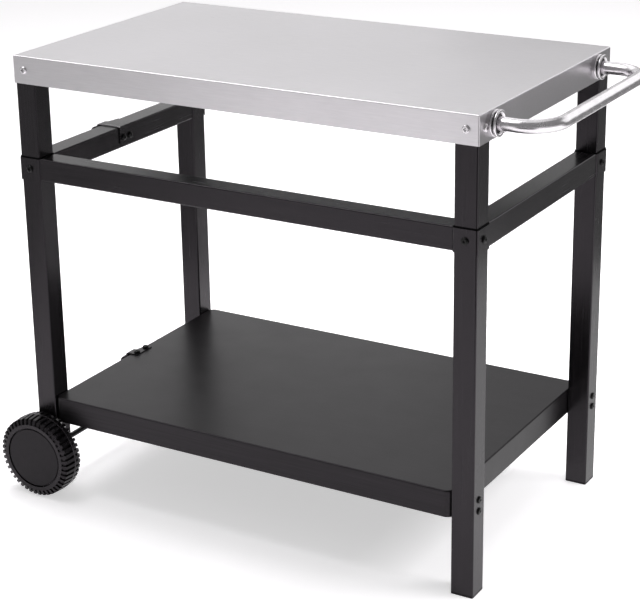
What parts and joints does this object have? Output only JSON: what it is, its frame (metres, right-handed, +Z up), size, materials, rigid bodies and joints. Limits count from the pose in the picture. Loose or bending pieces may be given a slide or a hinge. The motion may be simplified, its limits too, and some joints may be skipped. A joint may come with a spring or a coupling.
{
  "type": "outdoor pizza oven table",
  "caption": "Steel cart table for an outdoor pizza oven: folded stainless top, black square-tube frame, lower shelf, wheels at one end, push handle at the other, fold-out tool hooks.",
  "frame": {"origin": "on the floor, under the middle of the table's overall box", "axes": "+X from the wheels towards the push handle, +Y from front to back, +Z up"},
  "size_m": [1.04, 0.6086, 0.812],
  "materials": {
    "brushed_stainless": "brushed along the table, satin",
    "bright_stainless": "polished tube and screw heads",
    "zinc_steel": "bright zinc plate",
    "black_powder_coat": "smooth black powder coat, satin",
    "black_oxide_steel": "blackened steel, semi gloss",
    "black_plastic": "moulded black plastic, fine grain"
  },
  "bodies": {
    "root": {"axle": "black_oxide_steel", "axle_push_nuts": "zinc_steel", "corner_socket_front_left": "black_powder_coat", "corner_socket_front_right": "black_powder_coat", "corner_socket_rear_left": "black_powder_coat", "corner_socket_rear_right": "black_powder_coat", "foot_front_right": "black_plastic", "foot_rear_right": "black_plastic", "frame_screw_nuts": "zinc_steel", "frame_screws": "black_oxide_steel", "front_rail": "black_powder_coat", "handle": "bright_stainless", "handle_bolts": "zinc_steel", "handle_plugs": "zinc_steel", "handle_rosette_front": "bright_stainless", "handle_rosette_rear": "bright_stainless", "handle_washers": "zinc_steel", "hook_bolts_lower": "black_oxide_steel", "hook_bolts_upper": "black_oxide_steel", "hook_nuts_lower": "black_oxide_steel", "hook_nuts_upper": "black_oxide_steel", "hook_plate_lower": "black_powder_coat", "hook_plate_upper": "black_powder_coat", "left_rail": "black_powder_coat", "leg_plug_front_left": "black_plastic", "leg_plug_rear_left": "black_plastic", "lower_leg_front_left": "black_powder_coat", "lower_leg_front_right": "black_powder_coat", "lower_leg_rear_left": "black_powder_coat", "lower_leg_rear_right": "black_powder_coat", "right_rail": "black_powder_coat", "shelf": "black_powder_coat", "shelf_bolt_nuts": "zinc_steel", "shelf_bolts": "black_oxide_steel", "shelf_channel": "black_powder_coat", "socket_rims": "black_plastic", "tabletop": "brushed_stainless", "top_channel_front": "zinc_steel", "top_channel_rear": "zinc_steel", "top_screw_nuts": "zinc_steel", "top_screws": "bright_stainless", "upper_leg_front_left": "black_powder_coat", "upper_leg_front_right": "black_powder_coat", "upper_leg_rear_left": "black_powder_coat", "upper_leg_rear_right": "black_powder_coat", "wheel_washers": "zinc_steel"},
    "front_wheel": {"wheel_front": "black_plastic", "wheel_cap_front": "black_plastic"},
    "rear_wheel": {"wheel_rear": "black_plastic", "wheel_cap_rear": "black_plastic"},
    "upper_hook": {"hook_upper": "black_powder_coat"},
    "lower_hook": {"hook_lower": "black_powder_coat"}
  },
  "joints": [
    {"name": "front_wheel_spin", "type": "hinge", "parent": "root", "child": "front_wheel", "pos_m": [-0.444, -0.28175, 0.076], "axis": [0, 1, 0], "continuous": true},
    {"name": "rear_wheel_spin", "type": "hinge", "parent": "root", "child": "rear_wheel", "pos_m": [-0.444, 0.28175, 0.076], "axis": [0, 1, 0], "continuous": true},
    {"name": "upper_hook_fold", "type": "hinge", "parent": "root", "child": "upper_hook", "pos_m": [-0.46928, -0.013, 0.62842], "axis": [0, 1, 0], "range_deg": [0, 90]},
    {"name": "lower_hook_fold", "type": "hinge", "parent": "root", "child": "lower_hook", "pos_m": [-0.42928, -0.013, 0.17942], "axis": [0, 1, 0], "range_deg": [0, 90]}
  ]
}
